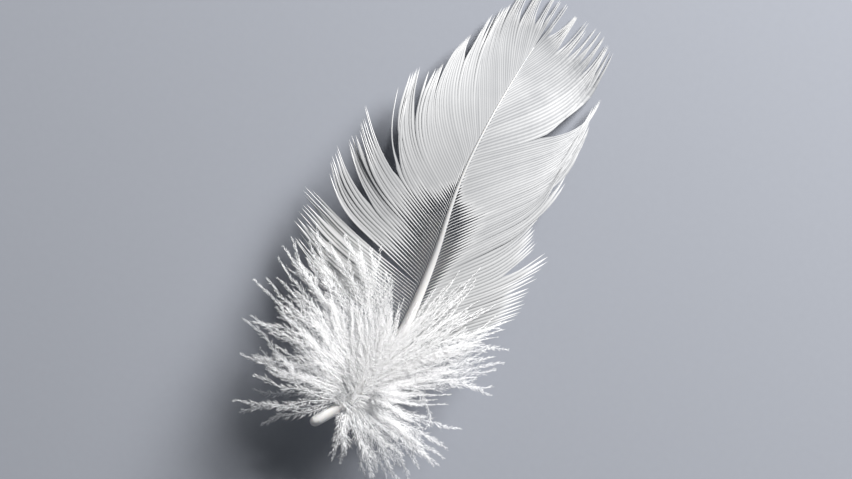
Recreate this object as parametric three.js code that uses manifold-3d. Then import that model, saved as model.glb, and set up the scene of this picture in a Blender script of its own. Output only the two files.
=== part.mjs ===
// A white body feather lying on a flat surface with its outer, convex side up.
// Millimetres, +Z up. The feather is laid out from the end of its quill, with +Y towards
// the tip and +X to the right as seen from above, and then moved onto its own middle.

import * as THREE from 'three';
import { mergeVertices } from 'three/addons/utils/BufferGeometryUtils.js';
import Module from 'manifold-3d';

// Middle of the feather's box, from the end of the quill
const MIDDLE_X = 1.76;
const MIDDLE_Y = 37.6;

// Line from the end of the quill to the tip of the vane, as [right, towards the tip, up].
// The down holds its foot up off the surface, and it comes down flat on it at the tip.
const SPINE = [
  [0, 0, 8.4], [3.2, 5.4, 9.2], [5.6, 13, 10.2], [6, 21, 10.9], [5, 32.5, 11.2],
  [2.9, 45, 10.1], [2.4, 55, 7.7], [2.8, 67, 2.9], [3.5, 74.5, 0.5], [4.2, 80, 0.1],
];

// Shaft: blunt closed quill, then a taper to a bristle, as [radius, distance towards the tip]
const SHAFT_RADII = [
  [0, 0], [0.6, 0.05], [0.88, 0.5], [0.9, 8], [0.8, 20], [0.6, 30],
  [0.38, 38], [0.24, 46], [0.16, 60], [0.1, 70.6], [0, 70.9],
];
const SHAFT_SIDES = 8;
const SHAFT_STEP = 4.4;

// Clear space between the shaft and what grows on it
const GAP = 0.15;

// Vane: one sheet of barbs on each side of the shaft. It bows down towards its edges by
// CAMBER for each square millimetre of distance from the spine.
const CAMBER = 0.0125;
const ROOT_THICKNESS = 0.5;
const TIP_THICKNESS = 0.24;
const BUNDLE_WIDTH = 1.3;
const ROWS = 9;
const NOTCH_ROW = 6;
const SPLIT_ROW = 1;
const STEPS_PER_ROW = 4;
const RAGGED = 0.05;

// The sheet has parted into locks, listed from the quill towards the tip, each with how far it
// lifts off the sheet at its edge. A guide is one barb: [root along the spine, degrees that it
// opens from the tip direction at its root, degrees at its own tip, share of its length where
// it starts to bend, length].
const LEFT_LOCKS = [
  { lift: 0.4, guides: [[19.6, 84, 64, 0.3, 22.5], [23.6, 80, 70, 0.3, 24], [27.6, 76, 74, 0.3, 25]] },
  { lift: 1.2, guides: [[28.2, 71, 44, 0.5, 23.5], [32.6, 70, 46, 0.3, 25], [36.8, 66, 42, 0.3, 25]] },
  { lift: 0.5, guides: [
    [37.2, 69, 16, 0.1, 25], [42.1, 61, 8, 0.1, 23.5], [47.3, 50, -2, 0.1, 23.5], [53.2, 30, 2, 0.1, 22.5],
  ] },
  { lift: 0, guides: [
    [53.6, 29, 2, 0.3, 22.5], [61.1, 27, -2, 0.3, 17.5], [67.1, 15, -3, 0.3, 13.5], [70.5, -3, -5, 0.3, 9.5],
  ] },
];
const RIGHT_LOCKS = [
  { lift: 0.2, guides: [
    [15.6, 48, 46, 0.4, 20.5], [18.6, 46, 42, 0.4, 22], [22.1, 44, 34, 0.4, 22.3],
    [25.6, 42, 18, 0.4, 22.5], [29.2, 38, 8, 0.4, 22],
  ] },
  { lift: 0.8, guides: [
    [29.6, 36, 6, 0.45, 25], [33.6, 37, 2, 0.45, 26], [38.6, 40, -2, 0.45, 27],
    [44.1, 43, -4, 0.45, 26], [49.8, 47, 0, 0.55, 24],
  ] },
  { lift: 0, guides: [
    [50.2, 46.5, -5, 0.2, 28.6], [53.1, 43, 1, 0.2, 26], [57.1, 38, 6, 0.2, 22.8],
    [62.1, 32, 9, 0.2, 18], [67.1, 26, 9, 0.2, 13.2], [70.5, 7, 5, 0.2, 9.5],
  ] },
];

// Down: loose plumes at the foot of the shaft, listed from the quill towards the tip. A guide is
// one plume: [root along the spine, degrees that it opens from the tip direction, length,
// height of its root over the sheet of the vane, height of its tip over it].
const LEFT_DOWN = [
  [5, 132, 13.8, -0.3, -9], [5.8, 112, 15.8, -0.2, -8], [7, 88, 17.3, 0, -6], [9, 72, 20.8, 0.3, -2.5],
  [11, 58, 24.3, 0.6, 0.5], [13, 49, 23.8, 0.8, 0.8], [15.5, 50, 15.8, 1, 1], [17.8, 60, 9.8, 1.1, 1.1],
];
const RIGHT_DOWN = [
  [4.6, 172, 8.8, -0.3, -9], [5.5, 140, 13.8, -0.3, -9], [6.3, 112, 16.8, -0.2, -8],
  [7.2, 92, 13.8, 0, -6], [8.5, 75, 10.8, 0.2, -3], [10, 62, 11.8, 0.4, -0.5],
  [11.5, 52, 17.8, 0.7, 0.5], [13, 44, 19.8, 0.9, 0.8], [14.4, 30, 14.8, 1.1, 1.1],
];
// Plumes that have strayed out of the fan: [root, degrees it opens, degrees it curls by, length]
const LEFT_STRAYS = [[6.8, 90, -14, 21.1], [5.6, 130, -11, 16.6], [5.2, 134, 8, 13.3]];
const RIGHT_STRAYS = [[7.2, 92, -32, 17.8], [10.4, 45, 18, 21.8], [6.6, 96, -12, 16.3], [11, 30, 150, 15.3]];
const PLUMES_PER_SIDE = 23;
const PLUME_SIDES = 4;
// Half width of a plume, barbules and all, as [half width, share of its length]
const PLUME_WIDTHS = [[0, 0], [0.7, 0.03], [0.5, 0.25], [0.75, 0.6], [0.42, 0.88], [0, 1]];
const PLUME_FLATNESS = 0.62;
const PLUME_STEPS = 12;
const LOWEST_MIDDLE = 0.15;
const HEADING_SCATTER = 7;
const CURL_SCATTER = 22;
const LENGTH_SCATTER = 0.14;
const PLUME_RISE = 1.5;
const TIP_LIFT = 4;
const SEEDS = { heading: 0, curl: 2, length: 4, rise: 6, tip: 8 };

const wasm = await Module();
wasm.setup();

const { clamp, degToRad, lerp, smoothstep } = THREE.MathUtils;
const UP = new THREE.Vector3(0, 0, 1);
const WELD = 1e-4;
const HALVINGS = 30;
const TANGENT_STEP = 0.01;
const spine = new THREE.CatmullRomCurve3(SPINE.map((point) => new THREE.Vector3(...point)));

// Repeatable scatter from -1 to 1
function scatter(index, seed) {
  const wave = Math.sin(index * 12.9898 + seed * 78.233) * 43758.5453;
  return 2 * (wave - Math.floor(wave)) - 1;
}

// Curve parameter where the spine reaches a distance towards the tip
function spineShare(distance) {
  let low = 0;
  let high = 1;
  for (let i = 0; i < HALVINGS; i++) {
    const middle = (low + high) / 2;
    if (spine.getPoint(middle).y < distance) low = middle;
    else high = middle;
  }
  return (low + high) / 2;
}

const spineAt = (distance) => spine.getPoint(spineShare(distance));

// Row of a rising list at a value between two of its rows
function rowAt(rows, value, column = 0) {
  const found = rows.findIndex((row) => row[column] >= value);
  const next = Math.max(found < 0 ? rows.length - 1 : found, 1);
  const [before, after] = [rows[next - 1], rows[next]];
  const share = clamp((value - before[column]) / (after[column] - before[column]), 0, 1);
  return before.map((number, i) => lerp(number, after[i], share));
}

const shaftRadius = (distance) => rowAt(SHAFT_RADII, distance, 1)[0];

// Height of the vane's sheet, carried on past its edges
function sheetHeight(x, y) {
  const middle = spineAt(y);
  return middle.z - CAMBER * (x - middle.x) ** 2;
}

function solidOf(geometry) {
  const vertProperties = new Float32Array(geometry.getAttribute('position').array);
  const triVerts = new Uint32Array(geometry.getIndex().array);
  return new wasm.Manifold(new wasm.Mesh({ numProp: 3, vertProperties, triVerts }));
}

function geometryOf(solid) {
  const { vertProperties, triVerts } = solid.getMesh();
  const geometry = new THREE.BufferGeometry();
  geometry.setAttribute('position', new THREE.BufferAttribute(vertProperties, 3));
  geometry.setIndex(new THREE.BufferAttribute(triVerts, 1));
  geometry.computeVertexNormals();
  return geometry;
}

// Lathe bent along a path, which gives the middle of the section at each height of the profile.
// It lies flat where it meets the surface.
function bentLathe(profile, sides, flatness, path) {
  const points = profile.map(([radius, height]) => new THREE.Vector2(radius, height));
  const lathe = new THREE.LatheGeometry(points, sides);
  lathe.deleteAttribute('normal');
  lathe.deleteAttribute('uv');
  const position = lathe.getAttribute('position');
  const vertex = new THREE.Vector3();
  const step = TANGENT_STEP * profile.at(-1)[1];
  for (let i = 0; i < position.count; i++) {
    vertex.fromBufferAttribute(position, i);
    const tangent = path(vertex.y + step).sub(path(vertex.y - step)).normalize();
    const across = tangent.clone().cross(UP).normalize();
    const above = across.clone().cross(tangent);
    const place = path(vertex.y).addScaledVector(across, vertex.x);
    place.addScaledVector(above, vertex.z * flatness);
    position.setXYZ(i, place.x, place.y, Math.max(place.z, 0));
  }
  return mergeVertices(lathe, WELD);
}

// Shaft, thicker all round by the extra radius
function shaftGeometry(extra) {
  const heights = SHAFT_RADII.map(([, height]) => height);
  const end = heights.at(-1);
  for (let height = SHAFT_STEP; height < end; height += SHAFT_STEP) heights.push(height);
  heights.sort((a, b) => a - b);
  const profile = heights.map((height) => [shaftRadius(height), height]);
  const grown = profile.map(([radius, height]) => [radius ? radius + extra : 0, height]);
  return bentLathe(grown, SHAFT_SIDES, 1, spineAt);
}

// Points of one barb in plan at each row, from its root on the shaft to its tip
function barbLine(side, guides, root, stretch = 1) {
  const [, open, close, bendFrom, length] = rowAt(guides, root);
  const steps = ROWS * STEPS_PER_ROW;
  const stride = length * stretch / steps;
  let x = spineAt(root).x + side * (shaftRadius(root) + GAP);
  let y = root;
  const line = [new THREE.Vector2(x, y)];
  for (let i = 1; i <= steps; i++) {
    const heading = degToRad(lerp(open, close, smoothstep((i - 0.5) / steps, bendFrom, 1)));
    x += side * Math.sin(heading) * stride;
    y += Math.cos(heading) * stride;
    if (i % STEPS_PER_ROW === 0) line.push(new THREE.Vector2(x, y));
  }
  return line;
}

// Strips of one lock, from the quill towards the tip: bundles of barbs that share their edges
// as far as NOTCH_ROW and then narrow to a point each
function lockStrips(side, { guides, lift }) {
  const from = guides[0][0];
  const to = guides.at(-1)[0];
  const count = Math.round((to - from) / BUNDLE_WIDTH);
  return Array.from({ length: count }, (_, i) => {
    const edges = [i, i + 1].map((step) => barbLine(side, guides, lerp(from, to, step / count)));
    const middle = barbLine(side, guides, lerp(from, to, (i + 0.5) / count), 1 + RAGGED * scatter(i, from));
    for (const edge of edges) {
      for (let row = NOTCH_ROW + 1; row <= ROWS; row++) {
        edge[row].lerp(middle[row], (row - NOTCH_ROW) / (ROWS - NOTCH_ROW));
      }
    }
    const joined = [i === 0 ? SPLIT_ROW : NOTCH_ROW, i === count - 1 ? SPLIT_ROW : NOTCH_ROW];
    return { edges, lifts: [lift, lift], rows: ROWS, joined };
  });
}

// Closed sheet of all the locks on one side, joined at their roots
function vaneGeometry(side, locks) {
  const strips = [];
  for (const lock of locks) {
    const next = lockStrips(side, lock);
    if (strips.length) {
      const [below, above] = [strips.at(-1), next[0]];
      const edges = [below.edges[1], above.edges[0]];
      const lifts = [below.lifts[1], above.lifts[0]];
      strips.push({ edges, lifts, rows: SPLIT_ROW, joined: [SPLIT_ROW, SPLIT_ROW] });
    }
    strips.push(...next);
  }
  strips[0].joined[0] = 0;
  strips.at(-1).joined[1] = 0;

  const corners = [];
  const triangle = (a, b, c) => {
    if (a.equals(b) || b.equals(c) || c.equals(a)) return;
    for (const corner of side > 0 ? [a, b, c] : [a, c, b]) corners.push(corner.x, corner.y, corner.z);
  };
  const quad = (a, b, c, d) => {
    triangle(a, b, c);
    triangle(a, c, d);
  };
  for (const { edges, lifts, rows, joined } of strips) {
    const skin = (edge, lift, above) => edge.slice(0, rows + 1).map((point, row) => {
      const share = row / ROWS;
      const half = lerp(ROOT_THICKNESS, TIP_THICKNESS, share) / 2;
      const height = Math.max(sheetHeight(point.x, point.y) + lift * share ** 2, half);
      return new THREE.Vector3(point.x, point.y, height + above * half);
    });
    const [lowTop, highTop] = edges.map((edge, i) => skin(edge, lifts[i], 1));
    const [lowUnder, highUnder] = edges.map((edge, i) => skin(edge, lifts[i], -1));
    for (let row = 0; row < rows; row++) {
      quad(lowTop[row], lowTop[row + 1], highTop[row + 1], highTop[row]);
      quad(highUnder[row], highUnder[row + 1], lowUnder[row + 1], lowUnder[row]);
      if (row >= joined[0]) quad(lowUnder[row], lowUnder[row + 1], lowTop[row + 1], lowTop[row]);
      if (row >= joined[1]) quad(highTop[row], highTop[row + 1], highUnder[row + 1], highUnder[row]);
    }
    quad(highUnder[0], lowUnder[0], lowTop[0], highTop[0]);
    quad(lowUnder[rows], highUnder[rows], highTop[rows], lowTop[rows]);
  }
  const geometry = new THREE.BufferGeometry();
  geometry.setAttribute('position', new THREE.Float32BufferAttribute(corners, 3));
  return mergeVertices(geometry, WELD);
}

// One plume: a slender spindle that leaves the shaft, curls, and bows over to the surface
function plumeGeometry(side, { root, open, curl, length, rootOver, tipOver, rise }) {
  const startX = spineAt(root).x + side * shaftRadius(root);
  const path = (share) => {
    const place = new THREE.Vector3(startX, root, 0);
    const stride = length * share / PLUME_STEPS;
    for (let i = 0; i < PLUME_STEPS; i++) {
      const heading = degToRad(open + curl * share * (i + 0.5) / PLUME_STEPS);
      place.x += side * Math.sin(heading) * stride;
      place.y += Math.cos(heading) * stride;
    }
    const over = lerp(rootOver, tipOver, share ** 2) + rise * Math.sin(Math.PI * share) ** 2;
    place.z = Math.max(sheetHeight(place.x, place.y) + over, LOWEST_MIDDLE);
    return place;
  };
  return bentLathe(PLUME_WIDTHS, PLUME_SIDES, PLUME_FLATNESS, path);
}

// All the down on one side of the shaft, grown together at its roots
function downGeometry(side, guides, strays) {
  const plumes = strays.map(([root, open, curl, length]) => {
    const [, , , rootOver, tipOver] = rowAt(guides, root);
    return { root, open, curl, length, rootOver, tipOver, rise: PLUME_RISE };
  });
  const from = guides[0][0];
  const to = guides.at(-1)[0];
  for (let i = 0; i < PLUMES_PER_SIDE; i++) {
    const guide = rowAt(guides, lerp(from, to, i / (PLUMES_PER_SIDE - 1)));
    const [root, open, length, rootOver, tipOver] = guide;
    plumes.push({
      root,
      open: open + HEADING_SCATTER * scatter(i, side + SEEDS.heading),
      curl: CURL_SCATTER * scatter(i, side + SEEDS.curl),
      length: length * (1 + LENGTH_SCATTER * scatter(i, side + SEEDS.length)),
      rootOver,
      tipOver: tipOver + TIP_LIFT * (1 + scatter(i, side + SEEDS.tip)) / 2,
      rise: PLUME_RISE * (1 + scatter(i, side + SEEDS.rise)),
    });
  }
  const solids = plumes.map((plume) => solidOf(plumeGeometry(side, plume)));
  const joined = solids.reduce((whole, solid) => whole.add(solid));
  return geometryOf(joined.subtract(solidOf(shaftGeometry(GAP))));
}

const horn = new THREE.MeshStandardMaterial({ color: '#f4f2ec', roughness: 0.45, metalness: 0 });
const vaneWhite = new THREE.MeshStandardMaterial({ color: '#eceef0', roughness: 0.6, metalness: 0 });
const downWhite = new THREE.MeshStandardMaterial({ color: '#f7f8f9', roughness: 0.85, metalness: 0 });

const LEFT = -1;
const RIGHT = 1;
const pieces = {
  shaft: [shaftGeometry(0), horn],
  vane_left: [vaneGeometry(LEFT, LEFT_LOCKS), vaneWhite],
  vane_right: [vaneGeometry(RIGHT, RIGHT_LOCKS), vaneWhite],
  down_left: [downGeometry(LEFT, LEFT_DOWN, LEFT_STRAYS), downWhite],
  down_right: [downGeometry(RIGHT, RIGHT_DOWN, RIGHT_STRAYS), downWhite],
};

const laid = new THREE.Group();
laid.position.set(-MIDDLE_X, -MIDDLE_Y, 0);
for (const [name, [geometry, material]] of Object.entries(pieces)) {
  const mesh = new THREE.Mesh(geometry, material);
  mesh.name = name;
  laid.add(mesh);
}
const feather = new THREE.Group();
feather.add(laid);

export default feather;
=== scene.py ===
import math

import bpy
import numpy as np
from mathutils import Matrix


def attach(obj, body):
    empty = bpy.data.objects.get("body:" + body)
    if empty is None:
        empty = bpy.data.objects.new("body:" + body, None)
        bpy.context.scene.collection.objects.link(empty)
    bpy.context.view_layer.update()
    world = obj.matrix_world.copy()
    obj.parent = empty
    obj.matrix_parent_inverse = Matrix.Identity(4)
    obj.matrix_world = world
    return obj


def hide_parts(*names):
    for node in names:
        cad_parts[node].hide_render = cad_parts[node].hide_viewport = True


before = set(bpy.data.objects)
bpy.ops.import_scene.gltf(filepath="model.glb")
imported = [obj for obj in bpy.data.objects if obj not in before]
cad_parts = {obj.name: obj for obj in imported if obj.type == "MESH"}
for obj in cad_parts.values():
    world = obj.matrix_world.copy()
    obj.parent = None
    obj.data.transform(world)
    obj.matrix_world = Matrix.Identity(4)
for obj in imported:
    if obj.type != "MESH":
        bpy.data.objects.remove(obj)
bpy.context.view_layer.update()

# Shaft
# One tapering rod of keratin: a round hollow quill with a blunt end, which goes over into the
# pithy rachis. It bends to the right above the quill and arches clear of the surface, and all
# the barbs grow from its two flanks. Sizes are in millimetres from the quill's end.
MM = 0.001
SPINE = np.array([
    [0, 0, 8.4], [3.2, 5.4, 9.2], [5.6, 13, 10.2], [6, 21, 10.9], [5, 32.5, 11.2],
    [2.9, 45, 10.1], [2.4, 55, 7.7], [2.8, 67, 2.9], [3.5, 74.5, 0.5], [4.2, 80, 0.1],
])
SHAFT_DISTANCES = [0, 0.06, 0.2, 0.42, 0.75, 8, 20, 30, 38, 46, 60, 70.6, 70.9]
SHAFT_RADII = [0, 0.34, 0.6, 0.78, 0.88, 0.9, 0.8, 0.6, 0.38, 0.24, 0.16, 0.1, 0]
GROOVE_FROM, GROOVE_FULL, GROOVE_DEPTH, GROOVE_EDGE = 13, 22, 0.45, 0.7
PITH_AND_SHADE_FROM, PITH_AND_SHADE_FULL = 12, 40
SHAFT_STATIONS = 96


def smoothstep(value, low, high):
    """Share of the way from low to high, with a soft start and end."""
    share = np.clip((value - low) / (high - low), 0, 1)
    return share * share * (3 - 2 * share)


def smooth_line(points, per_span=60):
    """Points along a smooth line through the given points."""
    ends = np.vstack([2 * points[0] - points[1], points, 2 * points[-1] - points[-2]])
    t = np.linspace(0, 1, per_span, endpoint=False)[:, None]
    spans = []
    for before, a, b, after in zip(ends, ends[1:], ends[2:], ends[3:]):
        d0, d1, d2 = (np.linalg.norm(q - p) ** 0.5 for p, q in ((before, a), (a, b), (b, after)))
        leave = ((a - before) / d0 - (b - before) / (d0 + d1) + (b - a) / d1) * d1
        arrive = ((b - a) / d1 - (after - a) / (d1 + d2) + (after - b) / d2) * d1
        spans.append(
            (2 * t**3 - 3 * t**2 + 1) * a + (t**3 - 2 * t**2 + t) * leave
            + (3 * t**2 - 2 * t**3) * b + (t**3 - t**2) * arrive
        )
    return np.vstack([*spans, points[-1:]])


LINE = smooth_line(SPINE)


def spine_x(distance):
    return np.interp(distance, LINE[:, 1], LINE[:, 0])


def spine_z(distance):
    return np.interp(distance, LINE[:, 1], LINE[:, 2])


def shaft_radius(distance):
    return np.interp(distance, SHAFT_DISTANCES, SHAFT_RADII)


shaft_tip = max((v.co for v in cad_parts["shaft"].data.vertices), key=lambda co: co.y)
SHAFT_END = SHAFT_DISTANCES[-1]
ORIGIN = np.array([shaft_tip.x - spine_x(SHAFT_END) * MM, shaft_tip.y - SHAFT_END * MM, 0])

bpy.ops.object.select_all(action="DESELECT")
bpy.ops.curve.primitive_bezier_circle_add(radius=MM)
section = bpy.context.object
section.data.resolution_u = 5
bpy.ops.curve.primitive_nurbs_path_add()
shaft = bpy.context.object
shaft.name = "quill_and_rachis"
rod = shaft.data
rod.twist_mode = "Z_UP"
rod.bevel_mode = "OBJECT"
rod.bevel_object = section
rod.splines.clear()
stations = np.union1d(SHAFT_DISTANCES, np.linspace(0, SHAFT_END, SHAFT_STATIONS))
run = rod.splines.new("POLY")
run.points.add(len(stations) - 1)
for point, station in zip(run.points, stations):
    middle = np.array([spine_x(station), station, spine_z(station)]) * MM + ORIGIN
    point.co = (*middle, 1)
    point.radius = shaft_radius(station)
shaft.location = (0, 0, 0)
bpy.ops.object.select_all(action="DESELECT")
shaft.select_set(True)
bpy.context.view_layer.objects.active = shaft
bpy.ops.object.convert(target="MESH")
bpy.data.objects.remove(section)
bpy.ops.object.mode_set(mode="EDIT")
bpy.ops.mesh.select_all(action="SELECT")
bpy.ops.mesh.remove_doubles(threshold=1e-6)
bpy.ops.mesh.dissolve_degenerate(threshold=1e-7)
bpy.ops.mesh.normals_make_consistent(inside=False)
bpy.ops.object.mode_set(mode="OBJECT")
bpy.ops.object.shade_smooth()

# The rachis has a furrow along its underside, which the round quill has not.
for vertex in shaft.data.vertices:
    distance = (vertex.co.y - ORIGIN[1]) / MM
    furrow = smoothstep(distance, GROOVE_FROM, GROOVE_FULL)
    furrow = furrow * smoothstep(-vertex.normal.z, GROOVE_EDGE, 1)
    vertex.co.z += furrow * GROOVE_DEPTH * shaft_radius(distance) * MM

fibre_tone = bpy.data.node_groups.new("fibre_tone", "ShaderNodeTree")
for label, kind in (
    ("Pale", "Color"), ("Deep", "Color"), ("Patches", "Float"), ("Mottle", "Float"),
    ("Stretch", "Vector"),
):
    fibre_tone.interface.new_socket(label, in_out="INPUT", socket_type="NodeSocket" + kind)
fibre_tone.interface.new_socket("Colour", in_out="OUTPUT", socket_type="NodeSocketColor")
fibre_tone.interface.new_socket("Patch", in_out="OUTPUT", socket_type="NodeSocketFloat")
nodes, links = fibre_tone.nodes, fibre_tone.links
given = nodes.new("NodeGroupInput")
result = nodes.new("NodeGroupOutput")
place = nodes.new("ShaderNodeTexCoord")
stretch = nodes.new("ShaderNodeVectorMath")
stretch.operation = "MULTIPLY"
patch = nodes.new("ShaderNodeTexNoise")
patch.inputs["Detail"].default_value = 3
own = nodes.new("ShaderNodeAttribute")
own.attribute_name = "tone"
both = nodes.new("ShaderNodeMath")
both.operation = "MULTIPLY_ADD"
blend = nodes.new("ShaderNodeMix")
blend.data_type = "RGBA"
links.new(place.outputs["Object"], stretch.inputs[0])
links.new(given.outputs["Stretch"], stretch.inputs[1])
links.new(stretch.outputs[0], patch.inputs["Vector"])
links.new(given.outputs["Patches"], patch.inputs["Scale"])
links.new(patch.outputs["Fac"], both.inputs[0])
links.new(given.outputs["Mottle"], both.inputs[1])
links.new(own.outputs["Fac"], both.inputs[2])
links.new(both.outputs[0], blend.inputs["Factor"])
links.new(given.outputs["Pale"], blend.inputs["A"])
links.new(given.outputs["Deep"], blend.inputs["B"])
links.new(blend.outputs["Result"], result.inputs["Colour"])
links.new(patch.outputs["Fac"], result.inputs["Patch"])


def keratin(name, pale, deep, patches, mottle, stretch, rough, bump):
    """White keratin whose tone drifts in patches, with its roughness and relief."""
    material = bpy.data.materials.new(name)
    material.use_nodes = True
    nodes, links = material.node_tree.nodes, material.node_tree.links
    shader = nodes["Principled BSDF"]
    tone = nodes.new("ShaderNodeGroup")
    tone.node_tree = fibre_tone
    tone.inputs["Pale"].default_value = (*pale, 1)
    tone.inputs["Deep"].default_value = (*deep, 1)
    tone.inputs["Patches"].default_value = patches
    tone.inputs["Mottle"].default_value = mottle
    tone.inputs["Stretch"].default_value = stretch
    spread = nodes.new("ShaderNodeMapRange")
    spread.inputs["To Min"].default_value, spread.inputs["To Max"].default_value = rough
    relief = nodes.new("ShaderNodeBump")
    relief.inputs["Strength"].default_value = bump
    relief.inputs["Distance"].default_value = 0.0001
    links.new(tone.outputs["Colour"], shader.inputs["Base Color"])
    links.new(tone.outputs["Patch"], spread.inputs["Value"])
    links.new(spread.outputs["Result"], shader.inputs["Roughness"])
    links.new(tone.outputs["Patch"], relief.inputs["Height"])
    links.new(relief.outputs["Normal"], shader.inputs["Normal"])
    return material, shader


# The rachis is painted greyer than the hollow quill: partly its own pithy tone, partly painted shade for
# the shadowed surface below that would show through it.
distances = [(vertex.co.y - ORIGIN[1]) / MM for vertex in shaft.data.vertices]
pith_and_painted_shade = [smoothstep(distance, PITH_AND_SHADE_FROM, PITH_AND_SHADE_FULL) for distance in distances]
shaft.data.attributes.new("tone", "FLOAT", "POINT").data.foreach_set("value", pith_and_painted_shade)
horn, horn_shader = keratin(
    "quill_horn", pale=(0.98, 0.975, 0.955), deep=(0.45, 0.455, 0.46), patches=220, mottle=0.12,
    stretch=(6, 1, 6), rough=(0.28, 0.42), bump=0.25,
)
horn_shader.inputs["Subsurface Weight"].default_value = 0.25
horn_shader.inputs["Subsurface Radius"].default_value = (0.0006, 0.0005, 0.0004)
horn_shader.inputs["Subsurface Scale"].default_value = 1
shaft.data.materials.clear()
shaft.data.materials.append(horn)
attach(shaft, "root")
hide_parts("shaft")

# Vanes
# Each side of the rachis carries a sheet of barbs, thin keratin rods that leave the shaft a
# fraction of a millimetre apart. Barbules on both sides of a barb zip it to its neighbours; beside
# the middle of the shaft and out at the tips of the barbs they have come apart.
CAMBER = 0.0125
LOWEST_BARB, LANDING = 0.12, 0.6
BARB_POINTS, ROOT_CROWDING = 24, 1.3
ROOT_DEPTH, ROOT_SLIDE, ROOT_BEND = 0.6, 0.3, (-0.3, 1.5)
BARB_KEEL, FREE_RADIUS = 0.15, 0.075
RIDGE, RIDGE_LOST, WEB_DROP = 0.8, 0.5, 0.1
WIDEST_WEB, WEB_OVERLAP, TORN_WEB, FRINGE = 0.38, 0.6, 0.1, 0.25
TEAR_FROM, TEAR_FULL = 1.8 * WIDEST_WEB, 2.7 * WIDEST_WEB
# Painted highlight and shade across a barb's web, beside the mean: darker right edge, lighter ridge,
# darker left edge and keel
WEB_PAINTED_SHADES = np.array([0.13, -0.18, 0.13, 0])
TONE_SPREAD, FRINGE_WHITENING, LOOSE_TONE = 0.05, 0.8, 0.15
# Barbs part into clumps, which share a length, a rise and the place where the ends come free.
NEW_CLUMP = 0.26
CLUMP_LENGTH, CLUMP_FREE, CLUMP_RISE = 0.06, 0.08, 0.12
BARB_LENGTH, BARB_FREE, BARB_RISE, BARB_HEADING, BARB_REACH = 0.02, 0.02, 0.04, 0.6, 0.15
CLING, CLING_FROM, LEAST_CLING = (0.25, 0.85), (32, 52), 0.3
BARBULE_PITCH, FIRST_BARBULE, LAST_SHARE = 0.13, 0.3, 0.97
BARBULE_HALF_WIDTH, BARBULE_FLATNESS, BARBULE_TONE = 0.025, 0.6, 0.4
BARBULE_LEAN, LEAN_LOST, LEAN_SPREAD = 48, 26, 8
SHORTEST_BARBULE, LONGEST_BARBULE, FREE_BARBULE = 0.2, 0.45, 0.22
BARBULE_SINK, BARBULE_DROOP = 0.02, 0.08
LOOSE_ODDS, FREE_ODDS = 0.5, 0.4
# Each lock's lift at the tips, barb spacing and barb guides: root along the shaft, heading at the
# root and at the tip in degrees off the shaft's line, where it starts to bend, and length
LEFT_LOCKS = [
    (0.4, 0.46, [[19.6, 84, 64, 0.3, 22.5], [23.6, 80, 70, 0.3, 24], [27.6, 79, 72, 0.1, 25]]),
    (1.2, 0.48, [[27.95, 75, 44, 0.5, 23.5], [32.6, 70, 46, 0.3, 25], [36.8, 66, 42, 0.3, 25]]),
    (0.5, 0.46, [[37.2, 69, 16, 0.1, 25], [42.1, 61, 8, 0.1, 23.5], [47.3, 50, -2, 0.1, 23.5],
                 [53.2, 30, 2, 0.1, 22.5]]),
    (0.0, 0.6, [[53.6, 29, 2, 0.3, 22.5], [61.1, 27, -2, 0.3, 17.5], [67.1, 15, -3, 0.3, 13.5],
                [70.5, -3, -5, 0.3, 9.5]]),
]
RIGHT_LOCKS = [
    (0.2, 0.56, [[15.6, 48, 46, 0.4, 20.5], [18.6, 46, 42, 0.4, 22], [22.1, 44, 34, 0.4, 22.3],
                 [25.6, 42, 18, 0.4, 22.5], [29.2, 38, 8, 0.4, 22]]),
    (0.8, 0.56, [[29.6, 36, 6, 0.45, 25], [33.6, 37, 2, 0.45, 26], [38.6, 40, -2, 0.45, 27],
                 [44.1, 43, -4, 0.45, 26], [49.8, 47, 0, 0.55, 24]]),
    (0.0, 0.64, [[50.2, 46.5, -5, 0.2, 28.6], [53.1, 43, 1, 0.2, 26], [57.1, 38, 6, 0.2, 22.8],
                 [62.1, 32, 9, 0.2, 18], [67.1, 26, 9, 0.2, 13.2], [70.5, 7, 5, 0.2, 9.5]]),
]
# Where the barbules have come apart: barb's root, reach from the shaft, share of the barb from
# which its end is free, and greyness of its web, which is painted shade that greys the web most
# towards the feather's tip, where the vane slopes down towards the lamp
LEFT_LOOSE = [
    [18, 7, 0.7, 0.12], [27, 8, 0.7, 0.24], [29, 8.2, 0.68, 0.56], [33, 8.2, 0.7, 0.63],
    [37, 7, 0.72, 0.64], [39, 5.4, 0.78, 0.64], [41, 3.5, 0.78, 0.62], [43, 1.7, 0.76, 0.62],
    [45, 0.6, 0.76, 0.64], [51, 0.1, 0.76, 0.7], [55, 0.1, 0.74, 0.74], [62, 0.1, 0.62, 0.78],
    [71, 0.1, 0.4, 0.82],
]
RIGHT_LOOSE = [
    [15, 0.1, 0.64, 0.46], [24, 0.6, 0.68, 0.5], [28, 2.8, 0.76, 0.56], [31, 5, 0.8, 0.62],
    [34, 6, 0.84, 0.64], [37, 5.4, 0.83, 0.65], [39, 4, 0.82, 0.66], [41, 2.5, 0.82, 0.67],
    [43, 1.2, 0.8, 0.68], [45, 0.4, 0.8, 0.69], [50, 0.1, 0.74, 0.72], [52, 0.1, 0.72, 0.75],
    [60, 0.1, 0.62, 0.8], [66, 0.1, 0.52, 0.8], [71, 0.1, 0.4, 0.8],
]


def sheet_height(x, y):
    """Height of the arched sheet in which the barbs lie."""
    return spine_z(y) - CAMBER * (x - spine_x(y)) ** 2


def unit(vectors):
    return vectors / np.linalg.norm(vectors, axis=-1, keepdims=True)


def frames(along):
    """Directions across and above lines that run along the given directions."""
    across = unit(np.cross(along, (0, 0, 1)))
    return across, np.cross(across, along)


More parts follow.
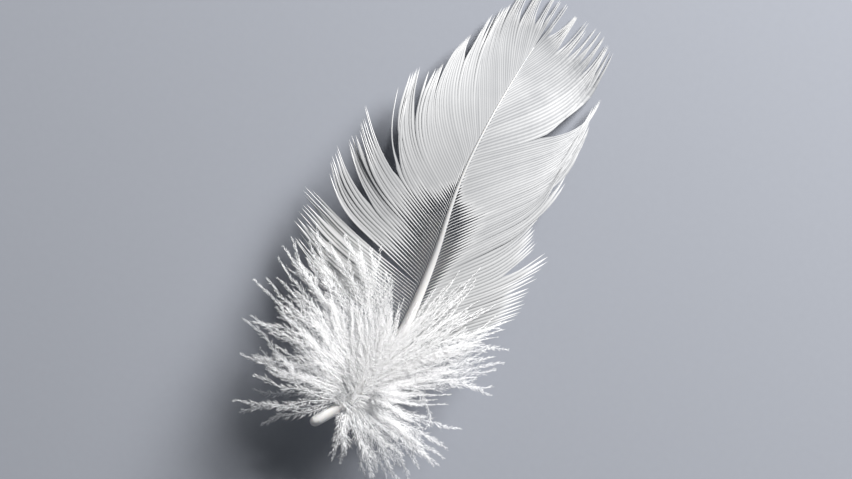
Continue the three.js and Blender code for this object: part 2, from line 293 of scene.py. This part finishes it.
def rods(lines, corners_across, corners_above):
    """Closed rods, pointed at both ends, with the given corners round each inner point."""
    count, points, _ = lines.shape
    sides = corners_across.shape[2]
    across, above = frames(unit(np.gradient(lines, axis=1)))
    rings = (lines[:, :, None] + across[:, :, None] * corners_across[..., None]
             + above[:, :, None] * corners_above[..., None])[:, 1:-1]
    vertices = np.concatenate([lines[:, :1], rings.reshape(count, -1, 3), lines[:, -1:]], axis=1)
    last = sides * (points - 2) + 1
    faces = []
    for side in range(sides):
        after = (side + 1) % sides
        faces += [(0, 1 + side, 1 + after), (last, last - sides + after, last - sides + side)]
        for row in range(points - 3):
            a, b = 1 + sides * row + side, 1 + sides * row + after
            faces += [(a, b + sides, b), (a, a + sides, b + sides)]
    offsets = vertices.shape[1] * np.arange(count)[:, None, None]
    return vertices.reshape(-1, 3), (np.array(faces) + offsets).reshape(-1, 3)


def stiff_barbules(starts, directions, lengths):
    """Closed four-cornered spikes, each a flat foot that runs out to a point."""
    across, above = frames(directions)
    across, above = across * BARBULE_HALF_WIDTH, above * (BARBULE_HALF_WIDTH * BARBULE_FLATNESS)
    ends = starts + directions * lengths[:, None]
    vertices = np.stack([starts + across, starts - across, starts + above, ends], axis=1)
    faces = np.array([(0, 2, 1), (0, 1, 3), (2, 0, 3), (1, 2, 3)])
    offsets = 4 * np.arange(len(starts))[:, None, None]
    return vertices.reshape(-1, 3), (faces + offsets).reshape(-1, 3)


def fibre_piece(name, parts, material):
    """One mesh of many fibres, given as vertices, faces and tone of each group of them."""
    vertices, faces, tones, first = [], [], [], 0
    for points, triangles, tone in parts:
        vertices.append(points * MM + ORIGIN)
        faces.append(triangles + first)
        tones.append(tone)
        first += len(points)
    vertices, faces, tones = np.concatenate(vertices), np.concatenate(faces), np.concatenate(tones)
    mesh = bpy.data.meshes.new(name)
    mesh.vertices.add(len(vertices))
    mesh.vertices.foreach_set("co", vertices.ravel())
    mesh.loops.add(faces.size)
    mesh.loops.foreach_set("vertex_index", faces.ravel().astype(np.int32))
    mesh.polygons.add(len(faces))
    mesh.polygons.foreach_set("loop_start", np.arange(0, faces.size, 3, dtype=np.int32))
    mesh.update(calc_edges=True)
    mesh.shade_flat()
    mesh.attributes.new("tone", "FLOAT", "POINT").data.foreach_set("value", tones)
    mesh.materials.append(material)
    piece = bpy.data.objects.new(name, mesh)
    bpy.context.collection.objects.link(piece)
    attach(piece, "root")
    return piece


def along_lines(values, place):
    """Values of each line's points, read at the given places counted in points."""
    low = np.clip(place.astype(int), 0, values.shape[1] - 2)
    part = place - low
    rows = np.arange(len(values))[:, None]
    if values.ndim == 3:
        part = part[..., None]
    return values[rows, low] * (1 - part) + values[rows, low + 1] * part


def columns(guides, roots):
    """Columns of a list of guides after its first, read at each root."""
    guides = np.array(guides, float)
    return [np.interp(roots, guides[:, 0], guides[:, k]) for k in range(1, guides.shape[1])]


def vane(name, side, locks, loose, radius, outward_painted_shade, seed):
    """All barbs of one side of the shaft, with the webs and barbules that they carry."""
    chance = np.random.default_rng(seed)
    rows = []
    for lift, pitch, guides in locks:
        roots = np.arange(guides[0][0], guides[-1][0], pitch)
        rows.append(np.column_stack([roots, *columns(guides, roots), np.full(len(roots), lift)]))
    opens_lock = np.concatenate([np.arange(len(row)) == 0 for row in rows])
    roots, opens, closes, bends, lengths, lifts = np.vstack(rows).T[..., None]
    reach, free, grey_and_painted_shade = columns(loose, roots)
    count = len(roots)
    reach = reach * np.clip(1 + BARB_REACH * chance.normal(0, 1, (count, 1)), 0.6, 1.4)
    clump = np.cumsum(opens_lock | (chance.random(count) < NEW_CLUMP)) - 1
    clumps = clump[-1] + 1
    lengths = lengths * (1 + CLUMP_LENGTH * chance.uniform(-1, 1, clumps)[clump][:, None]
                         + BARB_LENGTH * chance.uniform(-1, 1, (count, 1)))
    free = free + CLUMP_FREE * chance.uniform(-1, 1, clumps)[clump][:, None]
    free = free + chance.normal(0, BARB_FREE, (count, 1))

    # A barb leaves the shaft's flank at half its heading and soon turns out to all of it.
    share = np.linspace(0, 1, BARB_POINTS) ** ROOT_CROWDING
    between = (share[1:] + share[:-1]) / 2
    heading = opens + (closes - opens) * smoothstep(between, bends, 1)
    heading = heading + chance.normal(0, BARB_HEADING, (count, 1)) * between
    heading = np.radians(heading * (0.5 + 0.5 * smoothstep(between * lengths, *ROOT_BEND)))
    steps = np.diff(share) * lengths
    x = spine_x(roots) + side * ROOT_DEPTH * shaft_radius(roots)
    x = np.hstack([x, x + side * np.cumsum(np.sin(heading) * steps, axis=1)])
    y = roots - ROOT_SLIDE
    y = np.hstack([y, y + np.cumsum(np.cos(heading) * steps, axis=1)])

    # Free ends cling together in points of a few barbs, most of all towards the feather's tip.
    cling = chance.uniform(*CLING, clumps)[clump][:, None]
    cling = cling * (LEAST_CLING + (1 - LEAST_CLING) * smoothstep(roots, *CLING_FROM))
    cling = cling * smoothstep(share, free - 0.15, 1)
    for group in range(clumps):
        mates = clump == group
        x[mates] += cling[mates] * (x[mates].mean(0) - x[mates])
        y[mates] += cling[mates] * (y[mates].mean(0) - y[mates])
    rise = chance.normal(0, CLUMP_RISE, clumps)[clump][:, None] + chance.normal(0, BARB_RISE, (count, 1))
    z = sheet_height(x, y) + (lifts + rise) * share**2
    # The sheet levels out gently where it comes down on the surface.
    z = LOWEST_BARB + LANDING * np.logaddexp(0, (z - LOWEST_BARB) / LANDING)
    lines = np.stack([x, y, z], axis=2)

    # A zipped barb carries its web a little over half way to its neighbours, a loose one is bare.
    along = unit(np.gradient(lines, axis=1))
    tipward = side * np.stack([-along[..., 1], along[..., 0], 0 * along[..., 2]], axis=2)
    gaps = np.abs(np.sum((lines[1:] - lines[:-1]) * tipward[1:], axis=2))
    no_neighbour = np.full((1, BARB_POINTS), 9.0)
    after, before = np.vstack([gaps, no_neighbour]), np.vstack([no_neighbour, gaps])
    closed = np.clip(share * lengths / reach - 0.5, 0, 1)
    fringe = smoothstep(share, free, free + FRINGE)
    zipped = closed * (1 - fringe)
    bare = radius + (FREE_RADIUS - radius) * fringe
    webs = []
    for gap in (after, before):
        torn = smoothstep(gap, TEAR_FROM, TEAR_FULL)
        half = np.minimum(WEB_OVERLAP * gap, WIDEST_WEB) * (1 - torn) + TORN_WEB * torn
        webs.append(bare + zipped * np.maximum(half - bare, 0))
    right, left = webs[::-side]
    ridge = bare * (RIDGE - RIDGE_LOST * zipped)
    keel = ridge + BARB_KEEL * (1 - closed)
    across = np.stack([right, 0 * bare, -left, 0 * bare], axis=2)
    above = np.stack([-WEB_DROP * ridge, ridge, -WEB_DROP * ridge, -keel], axis=2)
    points, faces = rods(lines, across, above)
    # The web is thinner than the barb that carries it and is painted greyer: painted shade along the
    # shaft and, on the right, out towards the barbs' ends, where the vane faces the lamp.
    grey_and_painted_shade = grey_and_painted_shade + outward_painted_shade * share + chance.uniform(-TONE_SPREAD, TONE_SPREAD, (count, 1))
    fading = (1 - FRINGE_WHITENING * fringe) * (LOOSE_TONE + (1 - LOOSE_TONE) * closed)
    # Painted highlight on each barb's ridge and painted shade at the web's edges, where neighbours meet
    web_tone_and_painted_shade = ((grey_and_painted_shade[..., None] + WEB_PAINTED_SHADES) * fading[..., None])[:, 1:-1]
    tones = np.pad(web_tone_and_painted_shade.reshape(count, -1), ((0, 0), (1, 1)), mode="edge")
    parts = [(points, faces, tones.ravel())]

    # Barbules that still stand off the loose stretches, on both sides of the barb
    places = np.arange(FIRST_BARBULE, lengths.max(), BARBULE_PITCH)
    for towards, gap in ((1, after), (-1, before)):
        drift = BARBULE_PITCH * chance.uniform(-0.4, 0.4, (count, len(places)))
        shares = (places + drift) / lengths
        inside = (shares > 0) & (shares < LAST_SHARE)
        at = np.clip(shares, 0, 1) ** (1 / ROOT_CROWDING) * (BARB_POINTS - 1)
        shut = along_lines(closed, at)
        freed = smoothstep(shares, free, free + FRINGE)
        half_shut = smoothstep(shut, 0.4, 0.8) * (1 - smoothstep(shut, 0.9, 1))
        odds = np.maximum(LOOSE_ODDS * half_shut, FREE_ODDS * freed)
        kept = inside & (chance.random(shares.shape) < odds)
        span = np.clip(along_lines(gap, at) * 1.1, SHORTEST_BARBULE, LONGEST_BARBULE)
        span = span * (1 - freed) + FREE_BARBULE * freed
        span = span * chance.uniform(0.6, 1.1, shares.shape)
        lean = BARBULE_LEAN - LEAN_LOST * freed + LEAN_SPREAD * chance.normal(0, 1, shares.shape)
        lean = np.radians(lean)[kept][:, None]
        starts = along_lines(lines, at)[kept]
        starts[:, 2] -= BARBULE_SINK
        directions = along_lines(along, at)[kept] * np.cos(lean)
        directions += towards * along_lines(tipward, at)[kept] * np.sin(lean)
        directions[:, 2] -= BARBULE_DROOP
        points, faces = stiff_barbules(starts, unit(directions), span[kept])
        parts.append((points, faces, np.full(len(points), BARBULE_TONE)))
    return fibre_piece(name, parts, vane_white)


# Barbs run from pale white to a dark grey deep colour, which carries the vane's painted shade
vane_white, vane_shader = keratin(
    "vane_white", pale=(0.74, 0.745, 0.75), deep=(0.15, 0.158, 0.17), patches=300, mottle=0.1,
    stretch=(1, 1, 1), rough=(0.4, 0.6), bump=0,
)
vane_shader.inputs["Sheen Weight"].default_value = 0.1
vane_left = vane("barbs_left", -1, LEFT_LOCKS, LEFT_LOOSE, radius=0.032, outward_painted_shade=0, seed=11)
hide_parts("vane_left")
vane_right = vane("barbs_right", 1, RIGHT_LOCKS, RIGHT_LOOSE, radius=0.042, outward_painted_shade=0.2, seed=12)
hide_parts("vane_right")

# Down
# Loose plumes at the foot of the rachis: soft barbs without hooks, with tufts of long limp
# barbules, like fir twigs. The lowest droop to the surface and hold the quill up, the others
# stand up in two fluffy cheeks beside the quill, and silky ones lie over the shaft.
PLUME_POINTS = 20
PLUME_SHARES = [0, 0.1, 0.5, 1]
PLUME_RADII = [0.05, 0.045, 0.03, 0.014]
LOWEST_PLUME, LOWEST_FIBRE = 0.3, 0.03
FLUFF_TOP, FLUFF_FALL, FLUFF_DROOP, FLUFF_SPREAD = 14.9, 0.25, 1.5, 0.25
STRAY_STAND = 0.6
# How far a plume may depart from its guide: heading, curl, length, and its bends on the way
HEADING_OFF, CURL_OFF, LENGTH_OFF = 7, 24, 0.16
WAVE, WAVES_IN_ALL = 13, (0.8, 1.6)
KINK, KINKS_IN_ALL = 9, (3, 5)
TUFT, TUFT_CLOSENESS = 0.36, 0.6
LIMP_PITCH, FIRST_LIMP, LIMP_DRIFT, LIMP_HALF_WIDTH = 0.06, 0.4, 0.03, 0.018
LIMP_REACH_SHARES = [0, 0.15, 0.5, 0.8, 1]
LIMP_REACH = [0.6, 1.2, 1.15, 0.85, 0.4]
LIMP_LEAN_SHARES = [0, 0.5, 1]
LIMP_LEAN = np.array([58, 48, 26])
LIMP_BEND = (-0.1, 0.9)
# How far whole tufts, and then single barbules, depart in lean, rise and reach
TUFT_LEAN, TUFT_RISE, TUFT_REACH = 12, 0.3, 0.4
LIMP_LEAN_OFF, LIMP_RISE_OFF, LIMP_REACH_OFF = 7, 0.1, (0.7, 1.1)
# Plume guides: root along the shaft, heading, length, height over the sheet at root and at tip
LEFT_DOWN = [
    [5.4, 108, 15, -0.2, -8], [6.2, 92, 14, -0.1, -6.5], [7.3, 85, 16.5, 0, -5],
    [8.8, 80, 18, 0.3, -3], [10.2, 73, 20, 0.5, -1.5], [11.8, 63, 22.5, 0.6, 0],
    [13.6, 52, 23.5, 0.6, 0.6], [15.4, 43, 17.5, 0.6, 0.8], [16.6, 37, 12, 0.4, 1],
    [17.4, 34, 8, 0.3, 1.1],
]
RIGHT_DOWN = [
    [4.8, 168, 7.5, -0.3, -6], [5.3, 150, 8, -0.3, -7], [5.8, 134, 13, -0.3, -9],
    [6.6, 115, 14.7, -0.2, -8], [7.4, 105, 17, 0, -7], [8, 97, 16, 0.1, -6],
    [8.4, 86, 8.5, 0.2, -4], [9.2, 70, 7.5, 0.2, -3], [10, 60, 10, 0.4, -0.5],
    [10.6, 56, 18.4, 0.6, 0.3], [11.4, 48, 19, 0.8, 0.6], [12.2, 45, 21, 0.9, 0.8],
    [13.4, 34, 14, 1, 1.1],
]
LEFT_CROWN = [
    [4.8, 72, 9, 0.9, 3], [7, 56, 15, 1.3, 2.4], [9.5, 44, 15, 1.6, 1.6], [12, 32, 10.5, 1.5, 1.1],
    [15, 16, 5.5, 1.2, 0.8],
]
MIDDLE_CROWN = [
    [4.8, 14, 9, 1, 1.9], [6.4, 8, 12, 1.4, 1.6], [8.5, 4, 12, 1.6, 1.2], [11, 2, 10.5, 1.4, 0.9],
    [16, 1, 9, 1, 0.75],
]
RIGHT_CROWN = [
    [4.8, 118, 9.5, 1, 4], [5.8, 104, 10.5, 1.3, 4.4], [7, 84, 11, 1.4, 3.8], [8.2, 60, 15, 1.4, 2.2],
    [9.5, 40, 20, 1.5, 0.9], [12.5, 22, 21, 1.2, 0.4], [15, 11, 15, 0.4, 0.3],
]
# Stray plumes that stand out of the tufts: root, heading, curl from root to tip, length
LEFT_STRAYS = [[6.8, 90, -14, 21.1], [5.6, 130, -11, 16.6], [5.2, 134, 8, 13.3]]
RIGHT_STRAYS = [[7.2, 92, -32, 17.8], [10.4, 45, 18, 21.8], [6.6, 96, -12, 16.3], [11, 30, 150, 15.3]]


def limp_barbules(starts, roots_along, tips_along, lengths):
    """Closed spikes, thickest half way, where they bend from the first direction to the second."""
    across, above = frames(roots_along)
    across, above = across * LIMP_HALF_WIDTH, above * LIMP_HALF_WIDTH
    bends = starts + roots_along * (0.5 * lengths)[:, None]
    ends = bends + tips_along * (0.5 * lengths)[:, None]
    vertices = np.stack([starts, bends + across, bends - across, bends + above, ends], axis=1)
    faces = np.array([(0, 1, 3), (0, 3, 2), (0, 2, 1), (4, 3, 1), (4, 2, 3), (4, 1, 2)])
    offsets = 5 * np.arange(len(starts))[:, None, None]
    return vertices.reshape(-1, 3), (faces + offsets).reshape(-1, 3)


def fan(guides, count, chance, stand, unruly):
    """Plumes spread evenly over a list of guides, each a little off its guide; some stand up."""
    roots = np.linspace(guides[0][0], guides[-1][0], count)
    opens, lengths, root_over, tip_over = columns(guides, roots)
    opens = opens + HEADING_OFF * unruly * chance.uniform(-1, 1, count)
    curls = CURL_OFF * unruly * chance.uniform(-1, 1, count)
    lengths = lengths * (1 + LENGTH_OFF * chance.uniform(-1, 1, count))
    stands = stand * np.minimum(1.6 * chance.random(count) ** 0.7, 1)
    return np.stack([roots, opens, curls, lengths, root_over, tip_over, stands], axis=1)


def strays_of(strays, guides):
    """Single plumes in the same columns, as high over the sheet as the guides beside them."""
    rows = np.array(strays, float)
    _, _, root_over, tip_over = columns(guides, rows[:, 0])
    return np.column_stack([rows, root_over, tip_over, np.full(len(rows), STRAY_STAND)])


def barbule_rows(lines, lengths, fluff, chance):
    """Starts, directions at foot and tip, and lengths of barbules along both flanks of plumes."""
    count = len(lines)
    along = unit(np.gradient(lines, axis=1))
    across, above = frames(along)
    places = np.arange(FIRST_LIMP, lengths.max(), LIMP_PITCH)
    tufts = (places / TUFT).astype(int)
    flank = np.where(np.arange(len(places)) % 2, 1.0, -1.0)
    # Barbules of a tuft start close together and share a direction and a length.
    own = tufts * 2 + (flank > 0)
    sway, size, rise = chance.normal(0, 1, (3, count, own.max() + 1))
    middles = (tufts + 0.5) * TUFT
    gathered = middles + TUFT_CLOSENESS * (places - middles)
    drift = chance.uniform(-LIMP_DRIFT, LIMP_DRIFT, (count, len(places)))
    shares = (gathered + drift) / lengths
    kept = (shares > 0.02) & (shares < 0.995)
    at = np.clip(shares, 0, 1) * (PLUME_POINTS - 1)
    starts = along_lines(lines, at)[kept]
    total = len(starts)
    forward = unit(along_lines(along, at)[kept])
    outward = along_lines(across, at)[kept] * np.broadcast_to(flank, shares.shape)[kept][:, None]
    upward = TUFT_RISE * rise[:, own][kept] + chance.normal(0, LIMP_RISE_OFF, total)
    outward = unit(outward + along_lines(above, at)[kept] * upward[:, None])
    shares = shares[kept]
    lean = np.interp(shares, LIMP_LEAN_SHARES, fluff * LIMP_LEAN)
    lean = lean + TUFT_LEAN * sway[:, own][kept] + chance.normal(0, LIMP_LEAN_OFF, total)
    bent = np.radians(lean * chance.uniform(*LIMP_BEND, total))
    lean = np.radians(lean)
    root_way = forward * np.cos(lean)[:, None] + outward * np.sin(lean)[:, None]
    tip_way = forward * np.cos(bent)[:, None] + outward * np.sin(bent)[:, None]
    reach = np.interp(shares, LIMP_REACH_SHARES, LIMP_REACH)
    reach = reach * np.clip(1 + TUFT_REACH * size[:, own][kept], 0.3, 1.8)
    reach = reach * chance.uniform(*LIMP_REACH_OFF, total)
    return starts, unit(root_way), unit(tip_way), reach


def plumes(name, side, rows, chance, beside, fluff):
    """Plumes with their barbules, which start beside the shaft's middle; less fluff is silkier."""
    roots, opens, curls, lengths, root_over, tip_over, stands = rows.T[..., None]
    count = len(rows)
    share = np.linspace(0, 1, PLUME_POINTS)
    between = (share[1:] + share[:-1]) / 2
    bends = 0
    for angle, turns in ((WAVE, WAVES_IN_ALL), (KINK, KINKS_IN_ALL)):
        phase = chance.uniform(*turns, (count, 1)) * between + chance.random((count, 1))
        bends = bends + angle * np.sin(2 * math.pi * phase)
    sway = fluff**2 * bends * smoothstep(between, 0.1, 0.5)
    heading = np.radians(opens + curls * between + sway)
    steps = np.diff(share) * lengths
    beside = beside + (1 - beside) * chance.normal(0, 0.5, (count, 1))
    x = spine_x(roots) + side * beside * shaft_radius(roots)
    x = np.hstack([x, x + side * np.cumsum(np.sin(heading) * steps, axis=1)])
    y = np.hstack([roots, roots + np.cumsum(np.cos(heading) * steps, axis=1)])
    z = sheet_height(x, y) + root_over + (tip_over - root_over) * share**2
    top = FLUFF_TOP - FLUFF_FALL * np.maximum(y, 0) - FLUFF_DROOP * share**3
    top = top + chance.normal(0, FLUFF_SPREAD, (count, 1))
    z += stands * smoothstep(share, 0, 0.4) * np.maximum(top - z, 0.3)
    lines = np.stack([x, y, np.maximum(z, LOWEST_PLUME)], axis=2)
    radii = (0.4 + 0.6 * fluff) * np.interp(share, PLUME_SHARES, PLUME_RADII)
    turn = np.radians([90, 210, 330])
    shape = (count, PLUME_POINTS, len(turn))
    points, faces = rods(
        lines, np.broadcast_to(np.outer(radii, np.cos(turn)), shape),
        np.broadcast_to(np.outer(radii, np.sin(turn)), shape),
    )
    parts = [(points, faces, np.repeat(chance.random(count), len(points) // count))]

    starts, root_ways, tip_ways, reach = barbule_rows(lines, lengths, fluff, chance)
    points, faces = limp_barbules(starts, root_ways, tip_ways, fluff * reach)
    parts.append((points, faces, np.repeat(chance.random(len(starts)), 5)))
    for points, _, _ in parts:
        points[:, 2] = np.maximum(points[:, 2], LOWEST_FIBRE)
    return fibre_piece(name, parts, down_white)


down_white, down_shader = keratin(
    "down_white", pale=(0.99, 0.99, 0.99), deep=(0.95, 0.955, 0.965), patches=350, mottle=0.3,
    stretch=(1, 1, 1), rough=(0.6, 0.8), bump=0,
)
down_shader.inputs["Sheen Weight"].default_value = 0.2
luck = np.random.default_rng(21)
rows = fan(LEFT_DOWN, 76, luck, stand=1, unruly=1)
rows = np.vstack([rows, strays_of(LEFT_STRAYS, LEFT_DOWN)])
down_left = plumes("plumes_left", -1, rows, luck, beside=0.7, fluff=1)
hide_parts("down_left")
luck = np.random.default_rng(22)
rows = fan(RIGHT_DOWN, 78, luck, stand=1, unruly=1)
rows = np.vstack([rows, strays_of(RIGHT_STRAYS, RIGHT_DOWN)])
down_right = plumes("plumes_right", 1, rows, luck, beside=0.7, fluff=1)
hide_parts("down_right")
# The silky plumes of the crown have no solid of their own: they lie within the down's outline.
luck = np.random.default_rng(23)
for name, side, guides, count, unruly, fluff in (
    ("crown_left", -1, LEFT_CROWN, 64, 0.8, 0.8),
    ("crown_middle", 1, MIDDLE_CROWN, 50, 1.2, 0.6),
    ("crown_right", 1, RIGHT_CROWN, 66, 0.6, 0.6),
):
    rows = fan(guides, count, luck, stand=0, unruly=unruly)
    plumes(name, side, rows, luck, beside=0, fluff=fluff)

# Floor, light and camera
# The feather lies on a smooth sheet of pale blue-grey card, lit low from beyond its tip by one
# large soft lamp, and is seen from straight above.
PHOTO_CENTRE = np.array([2.38, 34.87, 6]) * MM + ORIGIN
PHOTO_TURN = math.radians(28.17)
PHOTO_WIDTH = 0.1375

bpy.ops.mesh.primitive_plane_add(size=5)
floor = bpy.context.object
floor.name = "card_floor"
card = bpy.data.materials.new("pale_card")
card.use_nodes = True
nodes, links = card.node_tree.nodes, card.node_tree.links
shader = nodes["Principled BSDF"]
shader.inputs["Roughness"].default_value = 0.9
shader.inputs["Specular IOR Level"].default_value = 0.1
place = nodes.new("ShaderNodeTexCoord")
fleck = nodes.new("ShaderNodeTexNoise")
fleck.inputs["Scale"].default_value = 900
blend = nodes.new("ShaderNodeMix")
blend.data_type = "RGBA"
blend.inputs["A"].default_value = (0.298, 0.315, 0.356, 1)
blend.inputs["B"].default_value = (0.31, 0.328, 0.37, 1)
links.new(place.outputs["Object"], fleck.inputs["Vector"])
links.new(fleck.outputs["Fac"], blend.inputs["Factor"])
links.new(blend.outputs["Result"], shader.inputs["Base Color"])
floor.data.materials.append(card)

scene = bpy.context.scene
world = bpy.data.worlds.new("studio")
world.use_nodes = True
world.node_tree.nodes["Background"].inputs["Color"].default_value = (0.9, 0.95, 1, 1)
world.node_tree.nodes["Background"].inputs["Strength"].default_value = 0.11
scene.world = world
scene.view_settings.view_transform = "Standard"

LAMP_DISTANCE, LAMP_ELEVATION, LAMP_TURN = 0.7, math.radians(27), math.radians(-16)
lamp_data = bpy.data.lights.new("soft_lamp", "AREA")
lamp_data.shape = "DISK"
lamp_data.size = 0.33
lamp_data.energy = 13.9
lamp_data.color = (1, 0.985, 0.97)
lamp = bpy.data.objects.new("soft_lamp", lamp_data)
bpy.context.collection.objects.link(lamp)
lamp_way = np.array([
    -math.sin(LAMP_TURN) * math.cos(LAMP_ELEVATION),
    math.cos(LAMP_TURN) * math.cos(LAMP_ELEVATION),
    math.sin(LAMP_ELEVATION),
])
lamp.location = PHOTO_CENTRE + lamp_way * LAMP_DISTANCE
lamp.rotation_euler = (LAMP_ELEVATION - math.pi / 2, 0, LAMP_TURN)

camera_data = bpy.data.cameras.new("camera")
camera_data.lens = 150
camera_data.sensor_width = 36
camera = bpy.data.objects.new("camera", camera_data)
bpy.context.collection.objects.link(camera)
camera_height = PHOTO_WIDTH * camera_data.lens / camera_data.sensor_width
camera.location = PHOTO_CENTRE + np.array([0, 0, camera_height])
camera.rotation_euler = (0, 0, PHOTO_TURN)
scene.camera = camera
